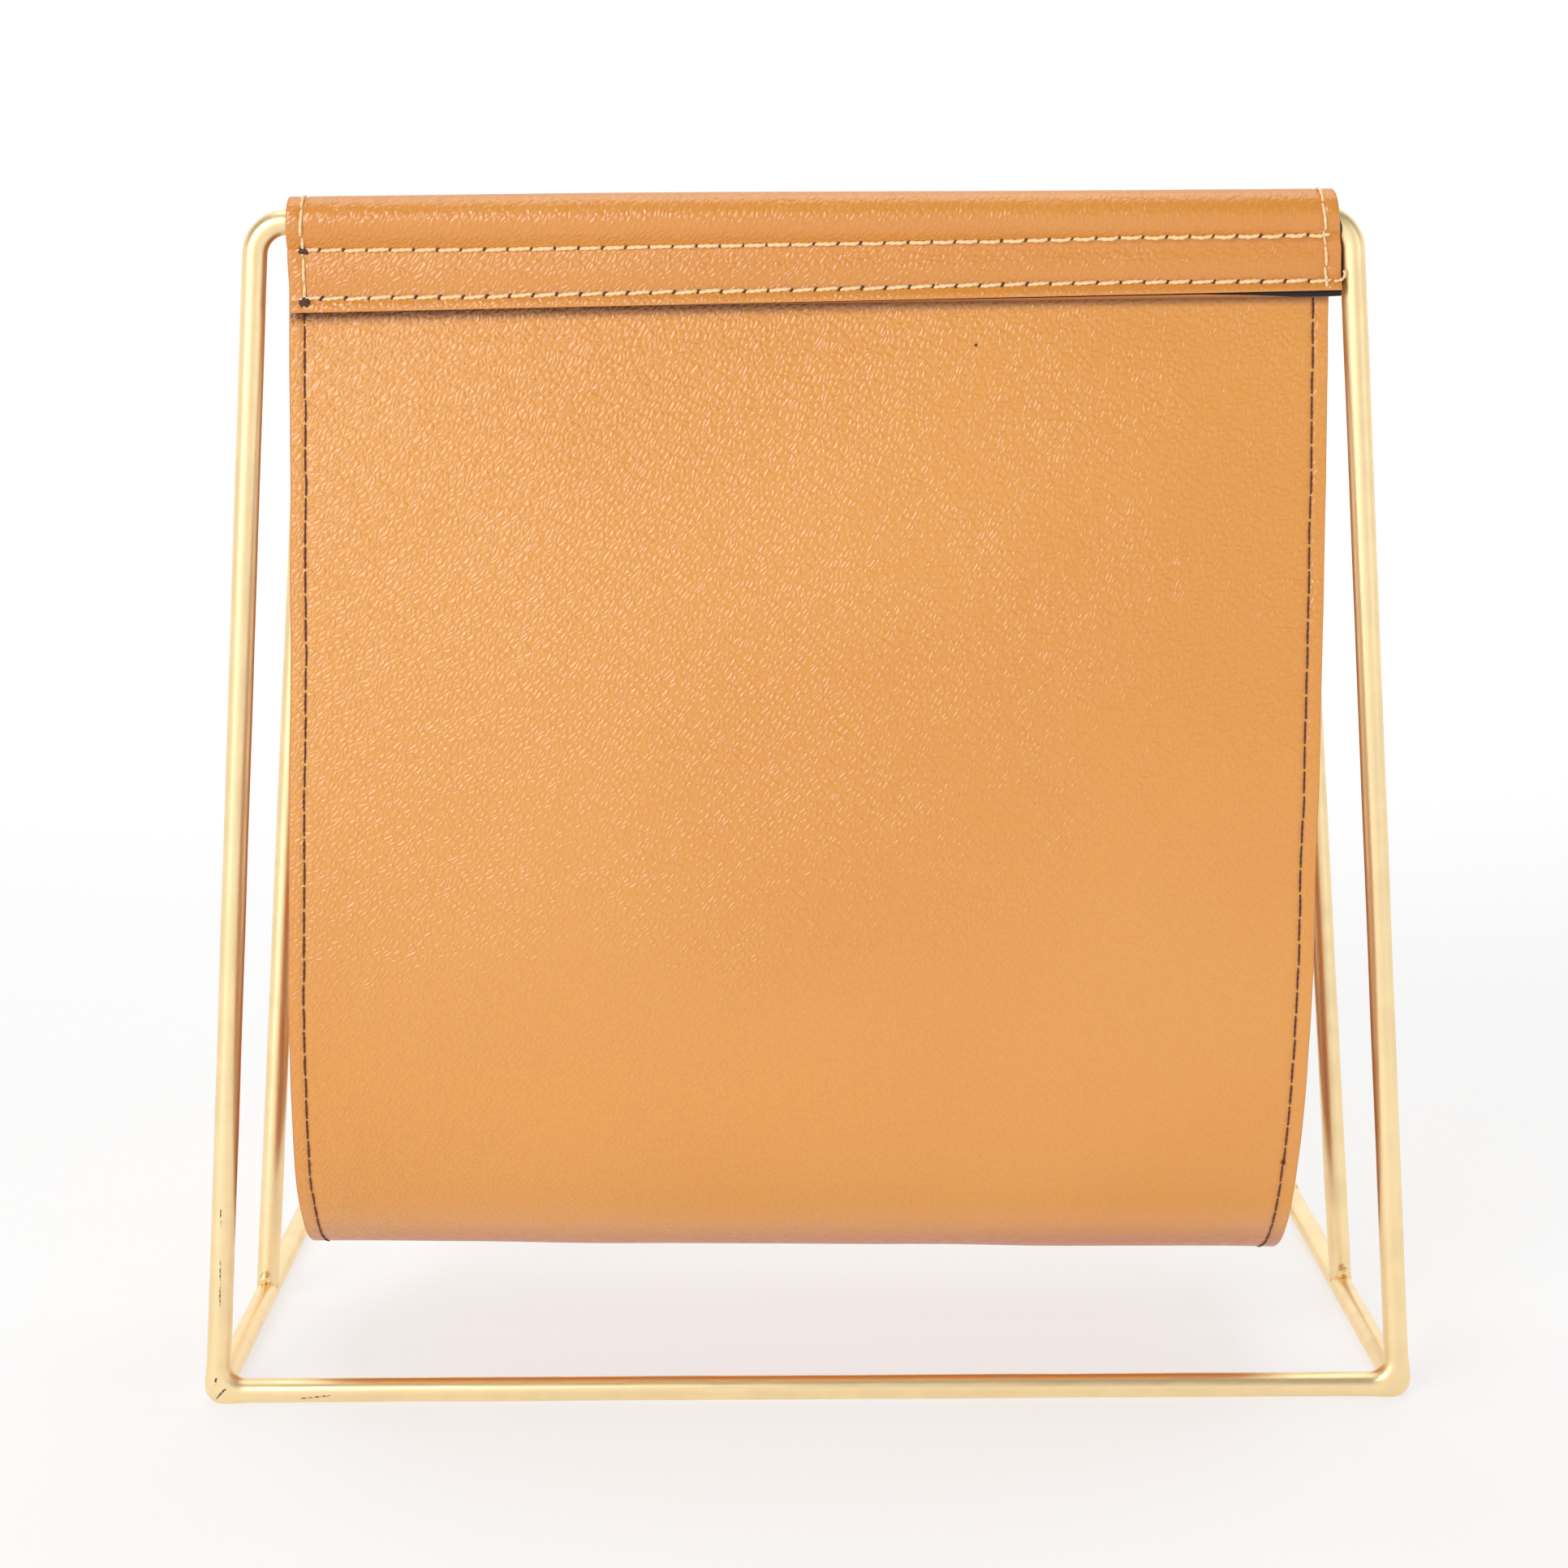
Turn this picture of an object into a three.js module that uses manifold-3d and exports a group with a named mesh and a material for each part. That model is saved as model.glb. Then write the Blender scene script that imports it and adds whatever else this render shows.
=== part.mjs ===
// A free-standing magazine rack: a welded frame of bent round rod that carries a leather sling.
//
// Millimetres, +Z up. The front faces -Y and the rack is as wide as X. A closed ring of rod stands
// upright at the front. Two side rails run back from its lower corners to a rear rail, and a hoop
// stands on the middles of the side rails, leaning back a little. The sling is two strips of leather
// sewn back to back. It hangs between the two top bars, and each end is turned over its bar to the
// outside and sewn down there in two rows, which makes a sleeve that can slide a little on the bar.
import * as THREE from "three";
import { mergeVertices } from "three/addons/utils/BufferGeometryUtils.js";
import Module from "manifold-3d";

const wasm = await Module();
wasm.setup();

// Frame
const rod_radius = 3.5;
const rod_sides = 16;
const base_width = 345; // between the axes of the two side rails
const bar_width = 303; // between the axes of a frame's legs where they meet its top bar
const bar_height = 340; // of the top bars' axes
const base_depth = 200; // from the front ring's plane to the rear rail's axis
const hoop_foot_depth = 95; // where the hoop's feet stand on the side rails
const hoop_lean = THREE.MathUtils.degToRad(3.3);
const top_bend_radius = 9; // on the rod's axis
const bottom_bend_radius = 8;
const bend_steps = 6;
const joint_gap = 0.3; // between pieces that touch
const corner_bead_radius = 2.6;
const foot_bead_radius = 2.2;

// Sling
const sling_width = 287;
const sling_shift = 2.4; // the sling has slid this far to the right on its bars
const sheet_thickness = 1.2;
const sleeve_clearance = 1.0; // between a top bar and the leather round it
const sleeve_taper = Math.PI / 4; // how steeply the sleeve closes in under its bar
const flap_drop = 24; // from the bar's axis down to the flap's edge
const upper_row_drop = 7.6;
const lower_row_drop = 21;
const belly_height = 133; // where the sling is widest
const belly_bulge = 19.5; // how far it swells in front of the front bar's axis
const sling_floor_height = 33;
const belly_roundness = 2.25; // exponent of the superellipse below the belly
const panel_bow = 1.25; // 1 is a straight panel above the belly
const panel_steps = 8;
const belly_steps = 14;
const sleeve_steps = 8;

// Thread
const thread_radius = 0.45;
const thread_sides = 6;
const seam_margin = 4; // from the leather's side edge to the seam

const leather = new THREE.MeshStandardMaterial({ color: 0xd99a58, roughness: 0.55, metalness: 0 });
const lining = new THREE.MeshStandardMaterial({ color: 0xd0904f, roughness: 0.55, metalness: 0 });
const gold = new THREE.MeshStandardMaterial({ color: 0xd8bd8a, roughness: 0.32, metalness: 1 });
const weld_metal = new THREE.MeshStandardMaterial({ color: 0xcfb078, roughness: 0.4, metalness: 1 });
const dark_thread = new THREE.MeshStandardMaterial({ color: 0x4a2a20, roughness: 0.8, metalness: 0 });
const cream_thread = new THREE.MeshStandardMaterial({ color: 0xe8cc96, roughness: 0.75, metalness: 0 });

// ---------------------------------------------------------------- geometry helpers

// A path through given stations, each a point and a tangent. ExtrudeGeometry puts one section at
// each station, so straight runs need only two and bends only a few.
class StationPath extends THREE.Curve {
  constructor(stations) {
    super();
    this.stations = stations;
  }

  station(u) {
    return this.stations[Math.round(u * (this.stations.length - 1))];
  }

  getPoint(u) {
    return this.station(u).point.clone();
  }

  getPointAt(u) {
    return this.getPoint(u);
  }

  getTangentAt(u) {
    return this.station(u).tangent.clone();
  }
}

// Stations along straight runs between corner points, with a bend of the given radius at each
// inner corner.
function bentPath(corners, radii) {
  const stations = [];
  const start = corners[1].clone().sub(corners[0]).normalize();
  stations.push({ point: corners[0], tangent: start });
  for (let i = 1; i < corners.length - 1; i++) {
    const into = corners[i].clone().sub(corners[i - 1]).normalize();
    const out = corners[i + 1].clone().sub(corners[i]).normalize();
    const turn = into.angleTo(out);
    const radius = radii[i - 1];
    const inward = out.clone().addScaledVector(into, -Math.cos(turn)).normalize();
    const bend_start = corners[i].clone().addScaledVector(into, -radius * Math.tan(turn / 2));
    const centre = bend_start.clone().addScaledVector(inward, radius);
    for (let k = 0; k <= bend_steps; k++) {
      const angle = (turn * k) / bend_steps;
      const point = centre.clone().addScaledVector(inward, -radius * Math.cos(angle));
      point.addScaledVector(into, radius * Math.sin(angle));
      const tangent = into.clone().multiplyScalar(Math.cos(angle));
      tangent.addScaledVector(inward, Math.sin(angle));
      stations.push({ point, tangent });
    }
  }
  const last = corners[corners.length - 1];
  const end = last.clone().sub(corners[corners.length - 2]).normalize();
  stations.push({ point: last, tangent: end });
  return stations;
}

// A round section with flats facing along both of its axes, so a rod lies flat on the floor.
function roundSection(radius, sides) {
  const section = new THREE.Shape();
  const corner_radius = radius / Math.cos(Math.PI / sides);
  for (let i = 0; i < sides; i++) {
    const angle = (2 * Math.PI * (i + 0.5)) / sides;
    const x = corner_radius * Math.cos(angle);
    const y = corner_radius * Math.sin(angle);
    if (i === 0) section.moveTo(x, y);
    else section.lineTo(x, y);
  }
  section.closePath();
  return section;
}

function sweep(stations, radius, sides) {
  const extrudePath = new StationPath(stations);
  return new THREE.ExtrudeGeometry(roundSection(radius, sides), {
    steps: stations.length - 1,
    extrudePath,
    bevelEnabled: false,
  });
}

function rod(corners, radii = [], radius = rod_radius) {
  return sweep(bentPath(corners, radii), radius, rod_sides);
}

function toSolid(geometry) {
  const bare = geometry.clone();
  bare.deleteAttribute("normal");
  bare.deleteAttribute("uv");
  const merged = mergeVertices(bare, 1e-4);
  return new wasm.Manifold(
    new wasm.Mesh({
      numProp: 3,
      vertProperties: new Float32Array(merged.attributes.position.array),
      triVerts: new Uint32Array(merged.index.array),
    })
  );
}

function toGeometry(solid) {
  const mesh = solid.getMesh();
  const geometry = new THREE.BufferGeometry();
  geometry.setAttribute("position", new THREE.BufferAttribute(mesh.vertProperties, 3));
  geometry.setIndex(new THREE.BufferAttribute(mesh.triVerts, 1));
  geometry.computeVertexNormals();
  return geometry;
}

function join(first, second) {
  return toGeometry(toSolid(first).add(toSolid(second)));
}

function cut(body, ...tools) {
  let solid = toSolid(body);
  for (const tool of tools) solid = solid.subtract(toSolid(tool));
  return toGeometry(solid);
}

const rack = new THREE.Group();
const frame = new THREE.Group();
const sling = new THREE.Group();
rack.add(frame, sling);

function add(group, name, geometry, material) {
  const mesh = new THREE.Mesh(geometry, material);
  mesh.name = name;
  group.add(mesh);
  return mesh;
}

// ---------------------------------------------------------------- the frame

const point = (x, y, z) => new THREE.Vector3(x, y, z);
const rail_x = base_width / 2;
const bar_x = bar_width / 2;
const rail_z = rod_radius;
const fat_radius = rod_radius + joint_gap;
const overlap = 0.5; // of the ring's two halves, where they are joined

// The front ring: top bar, two legs and front rail, bent from one rod and closed by a weld.
function ringHalf(side, radius) {
  const corners = [
    point(-side * overlap, 0, bar_height),
    point(side * bar_x, 0, bar_height),
    point(side * rail_x, 0, rail_z),
    point(-side * overlap, 0, rail_z),
  ];
  return rod(corners, [top_bend_radius, bottom_bend_radius], radius);
}
const front_ring = join(ringHalf(-1, rod_radius), ringHalf(1, rod_radius));
add(frame, "front_ring", front_ring, gold);

// The side rails run from the back of the ring's lower corners to the rear rail.
const rail_start = rod_radius + joint_gap;
const rail_end = base_depth - rod_radius - joint_gap;
const sideRail = (side, radius) =>
  rod([point(side * rail_x, rail_start, rail_z), point(side * rail_x, rail_end, rail_z)], [], radius);

// The rear rail crosses behind both side rails and ends flush with their outer faces.
const rear_rail_end = rail_x + rod_radius;
const rearRail = (radius) =>
  rod([point(-rear_rail_end, base_depth, rail_z), point(rear_rail_end, base_depth, rail_z)], [], radius);
add(frame, "rear_rail", rearRail(rod_radius), gold);

// The hoop: an upside-down U of the ring's outline, leaning back from its feet, which are coped to
// sit on the side rails.
const hoop_bar_depth = hoop_foot_depth + (bar_height - rail_z) * Math.tan(hoop_lean);
function hoop(radius) {
  const corners = [
    point(-rail_x, hoop_foot_depth, rail_z),
    point(-bar_x, hoop_bar_depth, bar_height),
    point(bar_x, hoop_bar_depth, bar_height),
    point(rail_x, hoop_foot_depth, rail_z),
  ];
  return rod(corners, [top_bend_radius, top_bend_radius], radius);
}
const fatRailThrough = (side) =>
  rod([point(side * rail_x, 0, rail_z), point(side * rail_x, base_depth, rail_z)], [], fat_radius);
add(frame, "rear_hoop", cut(hoop(rod_radius), fatRailThrough(-1), fatRailThrough(1)), gold);

// Weld metal fills the outside of the ring's lower corners, where the bends would be round, makes
// a small fillet inside each rear corner and holds the hoop's feet.
function ball(x, y, z, radius) {
  const geometry = new THREE.SphereGeometry(radius, 16, 10);
  geometry.translate(x, y, z);
  return geometry;
}
const fat_ring = join(ringHalf(-1, fat_radius), ringHalf(1, fat_radius));
for (const [name, side] of [["left", -1], ["right", 1]]) {
  add(frame, `${name}_side_rail`, sideRail(side, rod_radius), gold);

  const corner_fill = ball(side * rail_x, 0, rail_z, rod_radius);
  add(frame, `front_${name}_corner_weld`, cut(corner_fill, fat_ring), weld_metal);

  const fillet_x = side * (rail_x - rod_radius - 0.8);
  const fillet = ball(fillet_x, base_depth - rod_radius - 0.8, rail_z, corner_bead_radius);
  const rear_fillet = cut(fillet, fatRailThrough(side), rearRail(fat_radius));
  add(frame, `rear_${name}_corner_weld`, rear_fillet, weld_metal);

  const bead_y = hoop_foot_depth - rod_radius - 0.6;
  const bead = ball(side * rail_x, bead_y, rail_z + rod_radius + 1.2, foot_bead_radius);
  const foot_bead = cut(bead, fatRailThrough(side), hoop(fat_radius));
  add(frame, `${name}_foot_weld`, foot_bead, weld_metal);
}

// ---------------------------------------------------------------- the sling

// The sling's line, seen from the side, is where its two strips of leather meet. Points are (y, z).
// It is drawn for the front half and mirrored for the rear.
const flat = (y, z) => new THREE.Vector2(y, z);
const half_stack = sheet_thickness + joint_gap / 2; // from the line to either face
const sleeve_radius = rod_radius + sleeve_clearance + half_stack;
const sewn_offset = half_stack + joint_gap / 2; // the line's distance from the middle of the hem
const middle_depth = hoop_bar_depth / 2;

function frontHalfLine() {
  const line = [flat(-sewn_offset, bar_height - flap_drop)];
  const arc_start = Math.PI + sleeve_taper;
  const arc_end = -sleeve_taper;
  const run = (sleeve_radius * Math.cos(sleeve_taper) - sewn_offset) / Math.sin(sleeve_taper);
  const closed_drop = sleeve_radius * Math.sin(sleeve_taper) + run * Math.cos(sleeve_taper);
  line.push(flat(-sewn_offset, bar_height - closed_drop));
  for (let i = 0; i <= sleeve_steps; i++) {
    const angle = arc_start + ((arc_end - arc_start) * i) / sleeve_steps;
    const y = sleeve_radius * Math.cos(angle);
    line.push(flat(y, bar_height + sleeve_radius * Math.sin(angle)));
  }
  line.push(flat(sewn_offset, bar_height - closed_drop));

  const belly_y = -belly_bulge + half_stack;
  const panel_top = bar_height - flap_drop;
  for (let i = 0; i < panel_steps; i++) {
    const share = 1 - i / panel_steps;
    const y = belly_y + (sewn_offset - belly_y) * share ** panel_bow;
    line.push(flat(y, belly_height + (panel_top - belly_height) * share));
  }

  const half_width = middle_depth - belly_y;
  const depth = belly_height - sling_floor_height - half_stack;
  for (let i = 0; i < belly_steps; i++) {
    const angle = (Math.PI / 2) * (i / belly_steps);
    const across = Math.cos(angle) ** (2 / belly_roundness);
    const down = Math.sin(angle) ** (2 / belly_roundness);
    line.push(flat(middle_depth - half_width * across, belly_height - depth * down));
  }
  return line;
}

const front_line = frontHalfLine();
const lowest = flat(middle_depth, sling_floor_height + half_stack);
const rear_line = front_line.map((p) => flat(2 * middle_depth - p.x, p.y)).reverse();
const sling_line = [...front_line, lowest, ...rear_line];

// The line moved sideways; positive is towards the outside of the pocket.
function offsetLine(line, distance) {
  return line.map((p, i) => {
    const before = line[Math.max(i - 1, 0)];
    const after = line[Math.min(i + 1, line.length - 1)];
    const into = i > 0 ? p.clone().sub(before).normalize() : after.clone().sub(p).normalize();
    const out = i < line.length - 1 ? after.clone().sub(p).normalize() : into.clone();
    const along = into.clone().add(out).normalize();
    const mitre = distance / along.dot(into);
    return flat(p.x + along.y * mitre, p.y - along.x * mitre);
  });
}

// A strip of leather between two offsets of the line, as wide as the sling.
function strip(nearer, farther) {
  const near_side = offsetLine(sling_line, nearer);
  const far_side = offsetLine(sling_line, farther).reverse();
  const shape = new THREE.Shape([...near_side, ...far_side]);
  const geometry = new THREE.ExtrudeGeometry(shape, { depth: sling_width, steps: 1, bevelEnabled: false });
  const turn = new THREE.Matrix4().makeBasis(point(0, 1, 0), point(0, 0, 1), point(1, 0, 0));
  geometry.applyMatrix4(turn);
  geometry.translate(-sling_width / 2, 0, 0);
  return geometry;
}
add(sling, "outer_leather", strip(joint_gap / 2, half_stack), leather);
add(sling, "inner_leather", strip(-joint_gap / 2, -half_stack), lining);

// Each seam is two threads, one on each face of the leather. The side seams run the length of the
// strips: the outer thread shows below the flaps, and the inner one goes on over the bars.
const thread_offset = half_stack + joint_gap + thread_radius;
function seamAlong(line, x) {
  const stations = line.map((p, i) => {
    const before = line[Math.max(i - 1, 0)];
    const after = line[Math.min(i + 1, line.length - 1)];
    const tangent = after.clone().sub(before).normalize();
    return { point: point(x, p.x, p.y), tangent: point(0, tangent.x, tangent.y) };
  });
  return sweep(stations, thread_radius, thread_sides);
}

const seam_x = sling_width / 2 - seam_margin;
const sleeve_points = sleeve_steps + 4; // of the line, before the panel begins
const panel_line = sling_line.slice(sleeve_points, -sleeve_points);
const below_flap = joint_gap + thread_radius; // so the outer thread starts clear of the flap
for (const [end, next] of [[0, 1], [panel_line.length - 1, panel_line.length - 2]]) {
  const share = below_flap / (panel_line[end].y - panel_line[next].y);
  panel_line[end] = panel_line[end].clone().lerp(panel_line[next], share);
}
const outer_seam_line = offsetLine(panel_line, thread_offset);
const inner_seam_line = offsetLine(sling_line, -thread_offset);
for (const [name, side] of [["left", -1], ["right", 1]]) {
  add(sling, `${name}_seam_outer_thread`, seamAlong(outer_seam_line, side * seam_x), dark_thread);
  add(sling, `${name}_seam_inner_thread`, seamAlong(inner_seam_line, side * seam_x), cream_thread);
}

// Two rows across each hem sew the flap to the panel, with a thread on the flap and one inside.
const row_end = seam_x - thread_radius - joint_gap - thread_radius;
const row_y = sewn_offset + thread_offset;
function row(depth, drop) {
  const z = bar_height - drop;
  const ends = [point(-row_end, depth, z), point(row_end, depth, z)];
  return sweep(bentPath(ends, []), thread_radius, thread_sides);
}
for (const [name, drop] of [["upper", upper_row_drop], ["lower", lower_row_drop]]) {
  add(sling, `front_hem_${name}_thread`, row(-row_y, drop), cream_thread);
  add(sling, `front_hem_${name}_bobbin_thread`, row(row_y, drop), dark_thread);
  add(sling, `rear_hem_${name}_thread`, row(hoop_bar_depth + row_y, drop), cream_thread);
  add(sling, `rear_hem_${name}_bobbin_thread`, row(hoop_bar_depth - row_y, drop), dark_thread);
}
sling.position.x = sling_shift;

// The origin is on the floor in the middle of the rack's outline.
const outline = new THREE.Box3().setFromObject(rack);
rack.position.y = -(outline.min.y + outline.max.y) / 2;

export default rack;
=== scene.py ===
import math

import bpy
import numpy as np
from mathutils import Matrix, Vector


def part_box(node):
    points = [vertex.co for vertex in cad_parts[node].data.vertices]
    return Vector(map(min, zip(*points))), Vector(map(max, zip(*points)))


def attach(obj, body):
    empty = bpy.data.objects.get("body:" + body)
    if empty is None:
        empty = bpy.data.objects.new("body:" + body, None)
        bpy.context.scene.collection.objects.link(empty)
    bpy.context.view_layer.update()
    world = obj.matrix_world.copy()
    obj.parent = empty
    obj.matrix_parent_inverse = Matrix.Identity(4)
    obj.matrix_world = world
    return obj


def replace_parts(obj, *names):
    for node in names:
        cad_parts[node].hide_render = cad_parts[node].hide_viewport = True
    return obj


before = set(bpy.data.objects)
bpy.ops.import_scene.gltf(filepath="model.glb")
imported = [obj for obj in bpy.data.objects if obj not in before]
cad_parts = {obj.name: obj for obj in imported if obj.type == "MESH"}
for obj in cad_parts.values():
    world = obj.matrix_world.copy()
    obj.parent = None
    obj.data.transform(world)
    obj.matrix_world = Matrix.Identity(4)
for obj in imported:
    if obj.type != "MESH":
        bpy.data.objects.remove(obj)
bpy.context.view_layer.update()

MM = 0.001

# ------------------------------------------------------------------ sizes, in metres

ring_lo, ring_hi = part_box("front_ring")
rail_lo, rail_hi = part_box("rear_rail")
FRONT_Y = (ring_lo.y + ring_hi.y) / 2
REAR_Y = (rail_lo.y + rail_hi.y) / 2
ROD = (ring_hi.y - ring_lo.y) / 2
BAR_Z = ring_hi.z - ROD
RAIL_Z = ROD
RAIL_X = rail_hi.x - ROD
BAR_X = 151.5 * MM  # where the lines of the top bars and the legs meet
BEND = 9 * MM  # radius of the bends at the top
CORNER = 8 * MM  # and of the ring's two bends at the floor
ROD_STEP = 6 * MM  # between the sections of a straight run
HOOP_FOOT = 95 * MM  # how far the rear hoop's feet are behind the front ring
HOOP_LEAN = math.radians(3.3)
HOOP_BAR = HOOP_FOOT + (BAR_Z - RAIL_Z) * math.tan(HOOP_LEAN)  # and how far its bar is
MIDDLE = HOOP_BAR / 2

WIDTH = 287 * MM  # of the two leather strips
SHEET = 1.2 * MM  # thickness of each
GAP = 0.3 * MM  # between them
HALF = SHEET + GAP / 2
FLAP = 24 * MM  # from the bar's middle down to the flap's edge
FLOOR_Z = 33 * MM  # the sling's lowest point
BELLY_Z = 133 * MM  # where it swells out most
BELLY = 19.5 * MM  # how far it swells out there
SIDE_PITCH = 6.9 * MM  # from stitch to stitch in the side seams
HEM_PITCH = 6.4 * MM  # and in the hem rows
DENT = 0.42 * MM  # how deep a tight stitch pulls the leather in

# ------------------------------------------------------------------ small helpers


def ease(t):
    t = np.clip(t, 0.0, 1.0)
    return t * t * (3 - 2 * t)


def bell(t, width):
    return np.exp(-((t / width) ** 2))


def waves(x, y, size, seed, octaves=3):
    """Smooth repeatable unevenness from -1 to 1, on patches of about the given size."""
    r = np.random.default_rng(seed)
    total = np.zeros(np.broadcast(x, y).shape)
    for k in range(octaves):
        for _ in range(4):
            a, p = r.uniform(0, 2 * math.pi, 2)
            f = 2 * math.pi / size * r.uniform(0.6, 1.3) * 1.9**k
            total = total + 0.55**k * np.sin(f * (math.cos(a) * x + math.sin(a) * y) + p)
    return total / 4.5


def add_mesh(name, verts, faces, materials, body, indices=None, uv=None, smooth=True):
    mesh = bpy.data.meshes.new(name)
    mesh.from_pydata(np.asarray(verts, float).tolist(), [], faces)
    for m in materials:
        mesh.materials.append(m)
    if indices is not None:
        mesh.polygons.foreach_set("material_index", np.asarray(indices, np.int32))
    mesh.polygons.foreach_set("use_smooth", np.full(len(mesh.polygons), smooth))
    if uv is not None:
        layer = mesh.uv_layers.new(name="cut")
        loops = np.zeros(len(mesh.loops), np.int32)
        mesh.loops.foreach_get("vertex_index", loops)
        layer.data.foreach_set("uv", np.asarray(uv, np.float32)[loops].ravel())
    mesh.update()
    obj = bpy.data.objects.new(name, mesh)
    bpy.context.scene.collection.objects.link(obj)
    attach(obj, body)
    return obj


def loft(rings, closed=False, caps=True):
    """Vertices and faces of a tube through rings, an array of (rings, points, 3)."""
    n, m, _ = rings.shape
    verts = rings.reshape(-1, 3)
    faces = []
    for i in range(n if closed else n - 1):
        a, b = i * m, ((i + 1) % n) * m
        faces += [(a + j, a + (j + 1) % m, b + (j + 1) % m, b + j) for j in range(m)]
    if caps and not closed:
        faces.append(tuple(reversed(range(m))))
        faces.append(tuple(range((n - 1) * m, n * m)))
    return verts, faces


# ------------------------------------------------------------------ materials


class Nodes:
    """A short way to write a material's nodes."""

    def __init__(self, name):
        self.material = bpy.data.materials.new(name)
        self.material.use_nodes = True
        self.tree = self.material.node_tree
        self.bsdf = self.tree.nodes["Principled BSDF"]

    def new(self, kind, inputs=None, **settings):
        node = self.tree.nodes.new(kind)
        for key, value in settings.items():
            setattr(node, key, value)
        for key, value in (inputs or {}).items():
            self.put(node.inputs[key], value)
        return node

    def put(self, socket, value):
        if isinstance(value, bpy.types.NodeSocket):
            self.tree.links.new(value, socket)
        else:
            socket.default_value = value

    def set(self, **values):
        for key, value in values.items():
            self.put(self.bsdf.inputs[key.replace("_", " ")], value)

    def math(self, operation, a, b=0.0):
        return self.new("ShaderNodeMath", {0: a, 1: b}, operation=operation).outputs[0]

    def add(self, a, b):
        return self.math("ADD", a, b)

    def minus(self, a, b):
        return self.math("SUBTRACT", a, b)

    def times(self, a, b):
        return self.math("MULTIPLY", a, b)

    def ramp(self, value, low, high, to_low=0.0, to_high=1.0):
        inputs = {"Value": value, "From Min": low, "From Max": high}
        inputs |= {"To Min": to_low, "To Max": to_high}
        node = self.new("ShaderNodeMapRange", inputs, interpolation_type="SMOOTHSTEP")
        return node.outputs["Result"]

    def mix(self, factor, a, b):
        node = self.new("ShaderNodeMix", {0: factor, 6: a, 7: b}, data_type="RGBA")
        return node.outputs[2]

    def vector(self, operation, **inputs):
        """Vector maths; the inputs are a, b and Scale."""
        inputs = {{"a": 0, "b": 1}.get(key, key): value for key, value in inputs.items()}
        return self.new("ShaderNodeVectorMath", inputs, operation=operation).outputs[0]

    def place(self):
        """Where a point is, in the shared frame."""
        return self.new("ShaderNodeTexCoord").outputs["Object"]

    def split(self, vector):
        return self.new("ShaderNodeSeparateXYZ", {0: vector}).outputs

    def noise(self, vector, scale, detail=2.0, rough=0.5, size="3D", output="Fac"):
        inputs = {"Vector": vector, "Scale": scale, "Detail": detail, "Roughness": rough}
        return self.new("ShaderNodeTexNoise", inputs, noise_dimensions=size).outputs[output]

    def pebbles(self, vector, scale, width):
        """Flat-topped cells, 1, and creases between them, 0, that are this share of a cell wide."""
        inputs = {"Vector": vector, "Scale": scale, "Randomness": 0.92}
        settings = {"feature": "DISTANCE_TO_EDGE", "voronoi_dimensions": "2D"}
        edge = self.new("ShaderNodeTexVoronoi", inputs, **settings).outputs["Distance"]
        return self.ramp(edge, 0.0, width)

    def bump(self, height, distance, strength=1.0, normal=None):
        inputs = {"Height": height, "Distance": distance, "Strength": strength}
        if normal is not None:
            inputs["Normal"] = normal
        return self.new("ShaderNodeBump", inputs).outputs["Normal"]


def color(r, g, b):
    """A display colour, 0 to 255, as linear light."""
    line = [c / 255 for c in (r, g, b)]
    line = [c / 12.92 if c <= 0.04045 else ((c + 0.055) / 1.055) ** 2.4 for c in line]
    return (*line, 1.0)


def shade(base, factor):
    """A darker version of a linear colour."""
    return tuple(c * factor for c in base[:3]) + (1.0,)


PEBBLES, SMALL_PEBBLES = 710.0, 1250.0  # cells on a metre of leather
CREASE = 0.4  # how wide a crease is, as a share of a cell
LONG = 0.56  # squeezes the pattern in one direction, so the cells come out long in the other
WARP = 2.2 * MM  # how far the pattern is pushed about
GRAIN = 0.165 * MM  # how deep the grain is where it's deepest
EDGE_RISE, EDGE_SLOPE = 1.7 * MM, 0.0172  # the line of the front flap's slanted edge


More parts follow.
